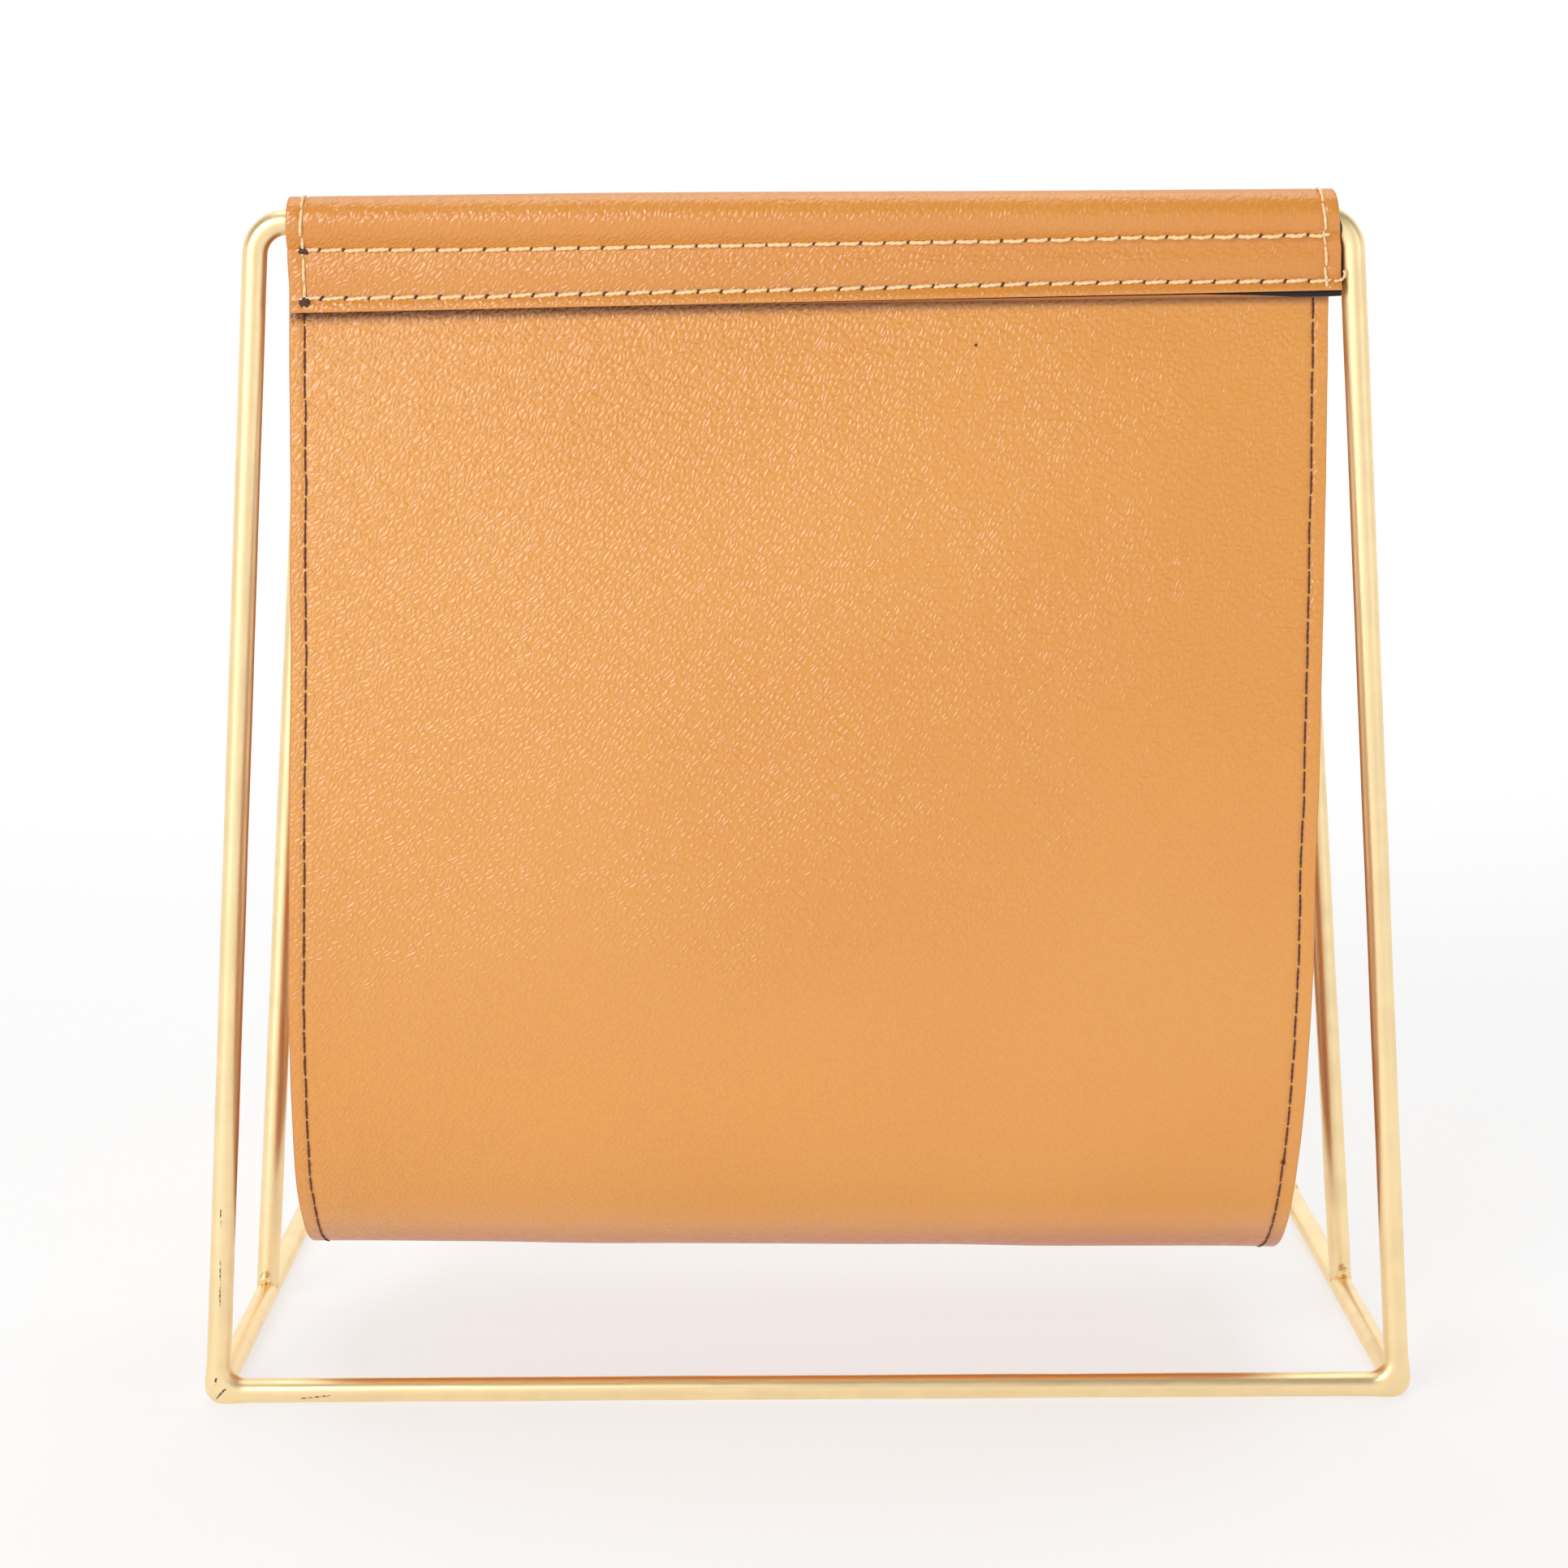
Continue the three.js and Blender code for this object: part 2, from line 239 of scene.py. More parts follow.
def leather_material(name, tone, slope, grain_gain=1.0, flap_shadow=False):
    """Pebbled leather. The pebbles are long domes that lie at a slope, in degrees, on the cut. Its
    colour has painted shade in the creases and on the underside, and can have a painted shadow under
    the front flap.
    """
    n = Nodes(name)
    uv = n.new("ShaderNodeUVMap", uv_map="cut").outputs["UV"]
    over, along, _ = n.split(uv)
    warp = n.noise(uv, 170.0, 1.5, size="2D", output="Color")
    warp = n.vector("SUBTRACT", a=warp, b=(0.5, 0.5, 0.5))
    bent = n.vector("ADD", a=uv, b=n.vector("SCALE", a=warp, Scale=WARP))
    turn = {"Vector": bent, "Rotation": (0, 0, math.radians(slope))}
    turned = n.new("ShaderNodeMapping", turn).outputs[0]
    laid = n.new("ShaderNodeMapping", {"Vector": turned, "Scale": (LONG, 1.0, 1.0)}).outputs[0]
    domes = n.pebbles(laid, PEBBLES, CREASE)
    small_domes = n.pebbles(laid, SMALL_PEBBLES, CREASE)
    fine = n.noise(laid, 2300.0, 2.0, 0.6, "2D")
    broad = n.noise(uv, 9.0, 1.0, size="2D")
    patches = n.noise(uv, 45.0, 1.0, size="2D")
    # some creases are deep and some are hardly there
    strong = n.ramp(n.noise(uv, 420.0, 1.0, size="2D"), 0.3, 0.6, 0.45, 1.0)
    height = n.add(n.times(domes, strong), n.times(small_domes, 0.07))
    height = n.add(height, n.times(fine, 0.1))
    # the grain is deeper towards the upper left than towards the lower right
    lean = n.add(n.add(n.times(over, -1.7), n.times(along, -0.9)), n.times(broad, 0.3))
    depth = n.ramp(n.add(lean, n.times(patches, 0.3)), -0.55, 0.2, 0.18, 1.0)
    soft = n.bump(n.noise(uv, 60.0, 1.0, size="2D"), 0.6 * MM, 0.3)
    normal = n.bump(height, n.times(depth, GRAIN * grain_gain), 1.0, soft)
    # painted shade: the creases between the pebbles are coloured darker
    crease_shade = n.times(n.ramp(domes, 0.0, 0.6, 1.0, 0.0), strong)
    red, green, blue = tone
    plain, warm = color(red, green, blue), color(red - 3, green - 5, blue - 7)
    base = n.mix(n.ramp(broad, 0.3, 0.7), plain, warm)
    base = n.mix(n.times(crease_shade, 0.22), base, color(red - 16, green - 24, blue - 22))
    # painted shade: the sling's underside is painted darker in colour, and it is also less shiny
    across, _, high = n.split(n.place())
    underside_shade = n.ramp(high, FLOOR_Z + 3 * MM, FLOOR_Z + 20 * MM, 1.0, 0.0)
    base = n.mix(n.times(underside_shade, 0.9), base, color(red - 42, green - 58, blue - 56))
    if flap_shadow:  # painted shadow: a dark band on the panel, just under the flap's slanted edge
        rise = n.add(n.times(across, EDGE_SLOPE), BAR_Z - FLAP + EDGE_RISE)
        flap_shadow_band = n.ramp(n.minus(high, rise), -4.5 * MM, -0.3 * MM)
        base = n.mix(n.times(flap_shadow_band, 0.8), base, color(96, 44, 24))
    shine = n.ramp(underside_shade, 0.0, 1.0, 0.85, 0.35)
    rough = n.ramp(n.noise(uv, 300.0, 1.0, size="2D"), 0.3, 0.7, 0.29, 0.35)
    n.set(Base_Color=base, Roughness=rough, Normal=normal, Specular_IOR_Level=shine)
    return n.material


def plain_material(name, base, rough, bump, scale=2000.0):
    """Thread, dyed cloth or a cut edge: one colour, a little mottled and uneven."""
    n = Nodes(name)
    grain = n.noise(n.place(), scale, 3.0)
    n.set(Base_Color=n.mix(n.ramp(grain, 0.3, 0.7), shade(base, 0.86), base), Roughness=rough)
    n.set(Normal=n.bump(grain, bump))
    return n.material


def gold_material(name, base, rough_low, rough_high, lumps=0.0, scratches=()):
    """Satin metal. A scratch is its two ends, (x, z), its width, and a y it stays in front of."""
    n = Nodes(name)
    where = n.place()
    cloud = n.noise(where, 90.0, 3.0)
    speck = n.noise(where, 1500.0, 2.0)
    tint = n.mix(n.ramp(cloud, 0.35, 0.65), base, shade(base, 0.94))
    rough = n.ramp(cloud, 0.3, 0.7, rough_low, rough_high)
    normal = n.bump(speck, 0.05 * MM, 0.6)
    if lumps:
        normal = n.bump(n.noise(where, 420.0, 2.0), lumps, 1.0, normal)
    metallic = 1.0
    if scratches:
        x, y, z = n.split(where)
        ragged = n.noise(where, 900.0, 3.0, 0.7)
        jitter = n.times(n.minus(ragged, 0.5), 1.2 * MM)
        worn = 0.0
        for (x0, z0), (x1, z1), width, front in scratches:
            length = math.hypot(x1 - x0, z1 - z0)
            tx, tz = (x1 - x0) / length, (z1 - z0) / length
            dx, dz = n.minus(x, x0), n.minus(z, z0)
            along = n.add(n.times(dx, tx), n.times(dz, tz))
            across = n.minus(n.times(dx, tz), n.times(dz, tx))
            across = n.math("ABSOLUTE", n.add(across, jitter))
            beyond = n.math("ABSOLUTE", n.minus(along, length / 2))
            mask = n.ramp(across, width * 0.5, width, 1.0, 0.0)
            mask = n.times(mask, n.ramp(beyond, length * 0.4, length * 0.5, 1.0, 0.0))
            mask = n.times(mask, n.math("LESS_THAN", y, front))
            worn = n.math("MAXIMUM", worn, mask)
        worn = n.times(worn, n.ramp(ragged, 0.42, 0.5))
        tint = n.mix(worn, tint, color(92, 66, 56))
        metallic = n.minus(1.0, worn)
    n.set(Base_Color=tint, Metallic=metallic, Roughness=rough, Normal=normal)
    return n.material


GOLD_TONE = color(254, 228, 177)
GOLD = gold_material("satin_gold", GOLD_TONE, 0.36, 0.44)
FRONT = FRONT_Y - 1.0 * MM
WORN = [  # scratches low on the left leg, and pits on the front rail and the corner
    ((-170.6 * MM, 29.5 * MM), (-169.9 * MM, 44.5 * MM), 0.22 * MM, FRONT),
    ((-169.6 * MM, 53.5 * MM), (-169.4 * MM, 59.5 * MM), 0.2 * MM, FRONT),
    ((-148.5 * MM, 1.9 * MM), (-139.0 * MM, 3.0 * MM), 0.3 * MM, FRONT),
    ((-172.8 * MM, 1.8 * MM), (-169.5 * MM, 5.4 * MM), 0.35 * MM, FRONT),
    ((-172.9 * MM, 6.2 * MM), (-172.2 * MM, 8.6 * MM), 0.4 * MM, FRONT),
]
WORN_GOLD = gold_material("satin_gold_scratched", GOLD_TONE, 0.36, 0.44, scratches=WORN)
WELD = gold_material("weld_gold", color(250, 221, 166), 0.30, 0.42, 0.08 * MM)
# the outer leather carries the painted shadow under the front flap
OUTER = leather_material("tan_leather", (225, 153, 66), 52, flap_shadow=True)
INNER = leather_material("tan_leather_lining", (217, 143, 57), -48, 0.85)
EDGE = plain_material("cut_edge", color(214, 142, 80), 0.6, 0.05 * MM)
BACKING = plain_material("dark_backing", color(38, 34, 36), 0.85, 0.05 * MM)
CREAM = plain_material("cream_thread", color(250, 218, 166), 0.6, 0.03 * MM, 3500.0)
DARK = plain_material("dark_thread", color(88, 42, 34), 0.6, 0.04 * MM, 3500.0)
BURNT = plain_material("burnt_thread", color(84, 50, 40), 0.7, 0.1 * MM, 1800.0)

# ------------------------------------------------------------------ the frame


BEND_STEPS = 18  # sections in a bend
STRAIGHT = (-1, 0.0, 0.0)  # what a point outside the bends has for the last three values


def bent_path(corners, radii, step, closed=False):
    """A point, its tangent and, in a bend, its number, the turn so far and the whole turn."""
    corners = [Vector(c) for c in corners]
    count = len(corners)
    order = range(count) if closed else range(1, count - 1)
    bends = {}
    for i in order:
        into = (corners[i] - corners[i - 1]).normalized()
        out = (corners[(i + 1) % count] - corners[i]).normalized()
        turn = into.angle(out)
        radius = radii[i if closed else i - 1]
        inward = (out - into * math.cos(turn)).normalized()
        start = corners[i] - into * radius * math.tan(turn / 2)
        bends[i] = (start, into, inward, turn, radius)
    rows = []

    def run(a, b):
        length = (b - a).length
        count = max(2, round(length / step))
        t = (b - a).normalized()
        for k in range(1, count):
            rows.append((a.lerp(b, k / count), t, *STRAIGHT))

    def bend_end(i):
        start, into, inward, turn, radius = bends[i]
        centre = start + inward * radius
        return centre + (into * math.sin(turn) - inward * math.cos(turn)) * radius

    indices = list(order)
    if not closed:
        rows.append((corners[0], (corners[1] - corners[0]).normalized(), *STRAIGHT))
        run(corners[0], bends[indices[0]][0] if indices else corners[-1])
    for k, i in enumerate(indices):
        start, into, inward, turn, radius = bends[i]
        centre = start + inward * radius
        for j in range(BEND_STEPS + 1):
            a = turn * j / BEND_STEPS
            p = centre + (into * math.sin(a) - inward * math.cos(a)) * radius
            t = into * math.cos(a) + inward * math.sin(a)
            rows.append((p, t, i, a, turn))
        if k + 1 < len(indices):
            run(bend_end(i), bends[indices[k + 1]][0])
        elif closed:
            run(bend_end(i), bends[indices[0]][0])
        else:
            run(bend_end(i), corners[-1])
    if not closed:
        last = (corners[-1] - corners[-2]).normalized()
        rows.append((corners[-1], last, *STRAIGHT))
    return rows


ROD_SIDES = 40
WOBBLE = 0.06 * MM  # how uneven the rod's finish is


def rod_rings(rows, plane, outer=None, seed=1):
    """Sections along a path that lies in a plane; outer gives how far each reaches outwards."""
    rings = []
    normal = Vector(plane).normalized()
    angles = np.linspace(0, 2 * math.pi, ROD_SIDES, endpoint=False)
    along = 0.0
    before = rows[0][0]
    for row in rows:
        p, t = row[:2]
        along += (p - before).length
        before = p
        out = t.cross(normal).normalized()
        reach = outer(row) if outer else ROD
        c, s = np.cos(angles), np.sin(angles)
        fat = np.where(c > 0, reach, ROD)
        # a filled corner is a little flatter on its sides than a round rod
        power = np.where(c > 0, 1.0 - 0.12 * ease((reach - ROD) / (3 * MM)), 1.0)
        a = fat * np.sign(c) * np.abs(c) ** power
        b = ROD * np.sign(s) * np.abs(s) ** power
        swell = 1 + WOBBLE / ROD * waves(along, angles * 0.004, 0.05, seed)
        a, b = a * swell, b * swell
        rings.append(np.array(p) + a[:, None] * np.array(out) + b[:, None] * np.array(normal))
    return np.array(rings)


def corner_reach(row):
    """Weld metal fills the outside of the ring's lower bends out to a nearly square corner."""
    p, _, bend, a, turn = row
    if bend < 0 or p.z > 100 * MM:
        return ROD
    tip = 4.6 * MM  # radius of the corner's tip
    phi, half = abs(a - turn / 2), turn / 2
    line = (CORNER + ROD) / math.cos(half - phi)
    centre = (CORNER + ROD - tip) / math.cos(half)
    edge = math.atan2(tip * math.sin(half), centre + tip * math.cos(half))
    if phi < edge:
        line = centre * math.cos(phi) + math.sqrt(max(tip**2 - (centre * math.sin(phi)) ** 2, 0))
    bulge = 0.45 * MM * math.exp(-(((phi - 0.35) / 0.35) ** 2))
    return line - CORNER + bulge


corners = [(-BAR_X, BAR_Z), (BAR_X, BAR_Z), (RAIL_X, RAIL_Z), (-RAIL_X, RAIL_Z)]
corners = [(x, FRONT_Y, z) for x, z in corners]
ring = bent_path(corners, [BEND, BEND, CORNER, CORNER], ROD_STEP, closed=True)
verts, faces = loft(rod_rings(ring, (0, 1, 0), outer=corner_reach), closed=True)
front_ring = add_mesh("front_ring_rod", verts, faces, [WORN_GOLD], "frame")
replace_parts(front_ring, "front_ring", "front_left_corner_weld", "front_right_corner_weld")

lean = Vector((0, -math.cos(HOOP_LEAN), math.sin(HOOP_LEAN)))
foot_y, bar_y = FRONT_Y + HOOP_FOOT, FRONT_Y + HOOP_BAR
corners = [(-RAIL_X, foot_y, RAIL_Z), (-BAR_X, bar_y, BAR_Z)]
corners += [(-x, y, z) for x, y, z in reversed(corners)]
verts, faces = loft(rod_rings(bent_path(corners, [BEND, BEND], ROD_STEP), lean, seed=2))
rear_hoop = add_mesh("rear_hoop_rod", verts, faces, [GOLD], "frame")
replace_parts(rear_hoop, "rear_hoop")


def straight_rod(node, a, b, seed, bulge=0.0):
    rings = rod_rings(bent_path([a, b], [], ROD_STEP), (0, 0, 1), seed=seed)
    if bulge:  # ends ground round, and a little fuller
        for end, inner in ((0, 1), (-1, -2)):
            centre = rings[end].mean(0)
            out = centre - rings[inner].mean(0)
            out /= np.linalg.norm(out)
            tapers = ((0.93, bulge * 0.6), (0.7, bulge))
            caps = np.array([centre + (rings[end] - centre) * f + out * d for f, d in tapers])
            rings = np.concatenate([caps[::-1], rings] if end == 0 else [rings, caps])
    verts, faces = loft(rings)
    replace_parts(add_mesh(f"{node}_rod", verts, faces, [GOLD], "frame"), node)


for side, word in ((-1, "left"), (1, "right")):
    start, end = (side * RAIL_X, FRONT_Y + 1.5 * MM, RAIL_Z), (side * RAIL_X, REAR_Y, RAIL_Z)
    straight_rod(f"{word}_side_rail", start, end, 4 + side)
end_x = RAIL_X + ROD - 1.0 * MM
straight_rod("rear_rail", (-end_x, REAR_Y, RAIL_Z), (end_x, REAR_Y, RAIL_Z), 6, 0.6 * MM)


def lump(name, centre, sizes, material, body, seed, rough, patch):
    """A small uneven bead: a ball, of these half sizes in mm, pushed about in and out."""
    m, n = 28, 18
    u = np.linspace(0, 2 * math.pi, m, endpoint=False)
    u, v = np.meshgrid(u, np.linspace(0, math.pi, n))
    ball = np.stack([np.cos(u) * np.sin(v), np.sin(u) * np.sin(v), np.cos(v)], -1)
    x, y, z = ball[..., 0], ball[..., 1], ball[..., 2]
    r = 1 + rough * waves(x + 2 * z, y - z, patch, seed)
    points = np.array(centre) + ball * r[..., None] * np.array([size * MM for size in sizes])
    faces = []
    for i in range(n - 1):
        for j in range(m):
            a, b = i * m + j, i * m + (j + 1) % m
            faces.append((a, a + m, b + m, b))
    return add_mesh(name, points.reshape(-1, 3), faces, [material], body)


def weld_bead(name, node, shift, sizes, seed):
    """A bead in place of a CAD weld, with its middle shifted by so many mm from the weld's."""
    lo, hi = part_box(node)
    mid = (lo + hi) / 2
    centre = [at + by * MM for at, by in zip(mid, shift)]
    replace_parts(lump(name, centre, sizes, WELD, "frame", seed, 0.18, 2.0), node)


for side, word in ((-1, "left"), (1, "right")):
    at_foot, at_rear = f"{word}_foot", f"rear_{word}_corner"
    weld_bead(f"{at_foot}_bead", f"{at_foot}_weld", (0, 0.6, 0), (1.9, 1.7, 2.2), 11 + side)
    shift = (-side * 1.5, 0, -1.0)
    weld_bead(f"{at_rear}_bead", f"{at_rear}_weld", shift, (1.5, 1.5, 1.1), 15 + side)

# ------------------------------------------------------------------ the sling's shape


def sling_line():
    """The line where the strips meet, seen from the side: s, y and z, evenly spaced and softened."""
    near = HALF + GAP / 2
    radius = ROD + 1.0 * MM + HALF  # of the sleeve, which is a loose fit on the bar
    taper = math.pi / 4
    line = [(-near, BAR_Z - FLAP)]
    run = (radius * math.cos(taper) - near) / math.sin(taper)
    drop = radius * math.sin(taper) + run * math.cos(taper)
    line.append((-near, BAR_Z - drop))
    for a in np.linspace(math.pi + taper, -taper, 40):
        line.append((radius * math.cos(a), BAR_Z + radius * math.sin(a)))
    line.append((near, BAR_Z - drop))
    belly_y = -BELLY + HALF
    top = BAR_Z - FLAP
    for share in np.linspace(1, 0, 40, endpoint=False):
        line.append((belly_y + (near - belly_y) * share**1.25, BELLY_Z + (top - BELLY_Z) * share))
    wide, deep = MIDDLE - belly_y, BELLY_Z - FLOOR_Z - HALF
    power = 2 / 2.25  # 1 would be an ellipse; this is a little fuller
    for a in np.linspace(0, math.pi / 2, 80):
        y, z = MIDDLE - wide * math.cos(a) ** power, BELLY_Z - deep * math.sin(a) ** power
        line.append((y, z))
    line = np.array(line)
    mirrored = np.stack([2 * MIDDLE - line[:, 0], line[:, 1]], 1)[::-1][1:]
    line = np.concatenate([line, mirrored])
    s = np.concatenate([[0], np.cumsum(np.linalg.norm(np.diff(line, axis=0), axis=1))])
    even = np.linspace(0, s[-1], 1601)
    y, z = np.interp(even, s, line[:, 0]), np.interp(even, s, line[:, 1])
    pad = 12
    kernel = bell(np.arange(-pad, pad + 1), 3.2)
    kernel /= kernel.sum()

    def soften(values):
        first = values[0] + (values[0] - values[1]) * np.arange(pad, 0, -1)
        last = values[-1] + (values[-1] - values[-2]) * np.arange(1, pad + 1)
        return np.convolve(np.concatenate([first, values, last]), kernel, "valid")

    y, z = soften(y), soften(z)
    s = np.concatenate([[0], np.cumsum(np.hypot(np.diff(y), np.diff(z)))])
    return s, y + FRONT_Y, z


LINE_S, LINE_Y, LINE_Z = sling_line()
LENGTH = LINE_S[-1]
TAN_Y, TAN_Z = np.gradient(LINE_Y, LINE_S), np.gradient(LINE_Z, LINE_S)
steepness = np.hypot(TAN_Y, TAN_Z)
TAN_Y, TAN_Z = TAN_Y / steepness, TAN_Z / steepness
CROWN = float(LINE_S[np.argmax(LINE_Z[: len(LINE_Z) // 2])])  # where the strip passes over the bar
UNDER = 2 * CROWN  # where the panel comes out below the flap

# Where the strip's side edges are, by how far along it they are: on the flap, on the bar's crown,
# down the panel and at the sling's floor. The body hangs a little askew, to the left.
BODY_AT = [0.0, 60 * MM, 127 * MM, 209 * MM, 249 * MM]
EDGE_AT = [0.0, 14 * MM, CROWN, *(UNDER + at for at in BODY_AT), LENGTH / 2]
LEFT_MM = (-142.3, -142.6, -142.0, -142.8, -143.3, -144.1, -146.1, -147.4, -148.8)
RIGHT_MM = (148.7, 148.6, 145.9, 145.9, 144.8, 143.5, 141.3, 141.0, 140.8)
LEFT_AT, RIGHT_AT = ([x * MM for x in row] for row in (LEFT_MM, RIGHT_MM))
SEAM_INSET = 4.3 * MM  # how far a side seam is in from the edge
# How far each flap's free edge is raised at its left and right ends.
SLANT = {"front": (-0.8 * MM, 4.2 * MM), "rear": (0.6 * MM, -0.8 * MM)}
SETTLE = 3.8 * MM  # how much lower the sling hangs on the right
# How far in mm the front flap's stitch rows are below the bar's middle, by share of the width.
ROW_AT = [0.0, 0.17, 0.3, 0.5, 0.67, 0.8, 1.0]
ROW_DROPS = {
    "upper": [7.0, 7.3, 6.85, 5.7, 4.9, 3.75, 3.2],
    "lower": [20.9, 20.5, 19.8, 19.0, 17.9, 17.4, 17.3],
}


def edges(s):
    """Where the strip's left and right edges are at a distance along it."""
    d = np.minimum(s, LENGTH - s)
    left = np.interp(d, EDGE_AT, LEFT_AT) + 0.25 * MM * waves(s, 0.0, 0.07, 21)
    right = np.interp(d, EDGE_AT, RIGHT_AT) + 0.25 * MM * waves(s, 0.5, 0.06, 22)
    return left, right


def slant(s, share):
    """How far the flap at this end of the strip is raised, at a share of the width."""
    front = s < LENGTH / 2
    at_left, at_right = (np.where(front, SLANT["front"][k], SLANT["rear"][k]) for k in (0, 1))
    return at_left + (at_right - at_left) * share


def row_place(share, word, front):
    """How far along the strip a hem row is, at a share of the width."""
    drops = np.array(ROW_DROPS[word]) * MM
    drop = np.interp(share, ROW_AT, drops) if front else drops.mean() + 0 * share
    tilt = slant(np.where(front, 0.0, LENGTH), share)
    d = FLAP - drop / (1 - tilt / FLAP)
    return d if front else LENGTH - d


def across_bar(s, front):
    """The point of the strip that lies against this one, on the other side of the bar."""
    return 2 * CROWN - s if front else 2 * (LENGTH - CROWN) - s


PEEK_AT = [0.0, 0.05, 0.5, 0.88, 0.93, 0.97, 1.0]
PEEK_MM = [0.0, 0.0, 0.15, 0.4, 1.1, 1.9, 1.6]


def peek(s, share):
    """How far the strip nearer the bar reaches below and beyond the other one at a flap's edges."""
    d = np.minimum(s, LENGTH - s)
    below = np.interp(share, PEEK_AT, PEEK_MM)
    near_edge = ease((share - 0.985) / 0.015)
    beyond = 0.75 * MM * near_edge * ease(d / (3 * MM)) * ease((26 * MM - d) / (4 * MM))
    return below * MM * ease(1 - d / (3 * MM)), beyond


def sling_point(s, share, offset):
    """A point on the sling: s along the strip, share of the width from the left, and offset from
    the line where the strips meet, positive towards the outside of the pocket."""
    s, share, offset = np.broadcast_arrays(np.asarray(s, float), share, offset)
    y, z = np.interp(s, LINE_S, LINE_Y), np.interp(s, LINE_S, LINE_Z)
    ty, tz = np.interp(s, LINE_S, TAN_Y), np.interp(s, LINE_S, TAN_Z)
    d = np.minimum(s, LENGTH - s)
    left, right = edges(s)
    x = left + (right - left) * share
    # flap: slanted edge, pillowed between its rows, and lifting a little at its free edge
    on_flap = np.clip(1 - d / FLAP, 0, 1)
    z = z + on_flap * slant(s, share)
    from_edge = np.minimum(share, 1 - share) * (right - left)
    swell = -0.45 * MM * bell(d - 9.5 * MM, 4 * MM) * ease(from_edge / (9 * MM))
    lip = -(1.4 * MM + 0.6 * MM * ease((share - 0.5) / 0.5)) * ease(1 - d / (5.5 * MM))
    # sleeve: a little looser on the bar towards the right
    loose = -0.1 * MM + 1.0 * MM * share + 0.45 * MM * bell(share - 0.35, 0.28)
    z = z + loose * bell(d - CROWN, 8 * MM)
    # panel: drawn out into broad shallow hollows, and lower on the right
    hang = ease((d - UNDER) / (170 * MM))
    z = z + (0.5 * MM - SETTLE * (share - 0.5)) * hang
    sag = 0.5 * MM * waves(x, s * 0.6, 0.16, 31) * ease((d - UNDER) / (60 * MM))
    shift = offset + swell + lip + sag
    below, beyond = peek(s, share)
    z = z - np.where(offset > 0, below, 0.0)
    x = x + np.where(offset > 0, beyond, 0.0)
    y = y + tz * shift
    z = z - ty * shift
    return np.stack([x, y, z], -1)


def press(s, share, inner):
    """From 0 to 1, how hard the stitches pull the leather in at this point of a face."""
    left, right = edges(s)
    width = right - left
    d = np.minimum(s, LENGTH - s)
    near_left = share * width - SEAM_INSET
    near_right = (1 - share) * width - SEAM_INSET
    groove = 0.9 * MM

    def beat(along, pitch):
        return 0.62 + 0.38 * np.cos(2 * math.pi * along / pitch)

    pull = (bell(near_left, groove) + bell(near_right, groove)) * beat(s, SIDE_PITCH)
    if inner:
        for word in ROW_DROPS:
            for front in (True, False):
                place = row_place(share, word, front)
                tight = beat(share * width, HEM_PITCH)
                pull = np.maximum(pull, bell(s - place, groove) * tight)
                pull = np.maximum(pull, bell(s - across_bar(place, front), groove) * tight)
    return pull


def leather_strip(name, node, sign, materials):
    """One strip: a dense grained face, a plain dark back, and cut edges between them."""
    half = [0.0, 0.25 * MM]
    while half[-1] < UNDER + 6 * MM:
        half.append(half[-1] + 0.8 * MM)
    while half[-1] < LENGTH / 2 - 1.4 * MM:
        half.append(half[-1] + 2.8 * MM)
    half = np.array(half[:-1])
    rows = np.concatenate([half, [LENGTH / 2], (LENGTH - half)[::-1]])
    # one turn round a section: over the face, down one cut edge, over the back, up the other
    fine = np.arange(0.45 * MM, 9 * MM, 0.7 * MM) / WIDTH
    wide = np.linspace(9.2 * MM / WIDTH, 1 - 9.2 * MM / WIDTH, 150)
    face = np.concatenate([fine, wide, 1 - fine[::-1]])
    back = np.linspace(1 - 0.1 * MM / WIDTH, 0.1 * MM / WIDTH, 24)
    bevel = [(0.16 * MM, 0.06), (0.0, 0.22), (0.0, 0.64), (0.0, 0.66)]  # in from the edge, and deep
    f, b, k = len(face), len(bevel), len(back)
    share = [*face, *(1 - a / WIDTH for a, _ in bevel), *back, *(a / WIDTH for a, _ in bevel[::-1])]
    deep = [*[0.0] * f, *(d for _, d in bevel), *[1.0] * k, *(d for _, d in bevel[::-1])]
    share, deep = np.array(share), np.array(deep)
    s_grid = rows[:, None] + 0 * share[None]
    share_grid = share[None] + 0 * rows[:, None]
    offset = sign * (HALF + (GAP / 2 - HALF) * deep)[None] + 0 * rows[:, None]
    pull = press(s_grid, share_grid, sign < 0) * (1 - deep[None])
    offset = offset - sign * DENT * pull
    soft_end = bell(np.minimum(s_grid, LENGTH - s_grid), 0.35 * MM) * (deep[None] < 0.1)
    offset = offset - sign * 0.2 * MM * soft_end
    points = sling_point(s_grid, share_grid, offset)
    uv = np.stack([share_grid * WIDTH, s_grid], -1).reshape(-1, 2)
    n, m = points.shape[:2]
    kind = np.zeros(m, int)  # which material each face of a section has
    kind[f : f + b - 1] = kind[f + b + k :] = 1
    kind[f + b - 1 : f + b + k] = 2
    faces, index = [], []
    for i in range(n - 1):
        a, c = i * m, (i + 1) * m
        for j in range(m):
            after = (j + 1) % m
            quad = (a + j, a + after, c + after, c + j)
            faces.append(quad if sign < 0 else quad[::-1])
            index.append(kind[j])
    for i, flip in ((0, sign < 0), (n - 1, sign > 0)):
        cap = tuple(range(i * m, (i + 1) * m))
        faces.append(cap[::-1] if flip else cap)
        index.append(1)
    obj = add_mesh(name, points.reshape(-1, 3), faces, materials, "sling", index, uv)
    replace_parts(obj, node)


for node, sign, face_leather in (("outer_leather", 1, OUTER), ("inner_leather", -1, INNER)):
    leather_strip(f"{node}_strip", node, sign, [face_leather, EDGE, BACKING])

# ------------------------------------------------------------------ stitches


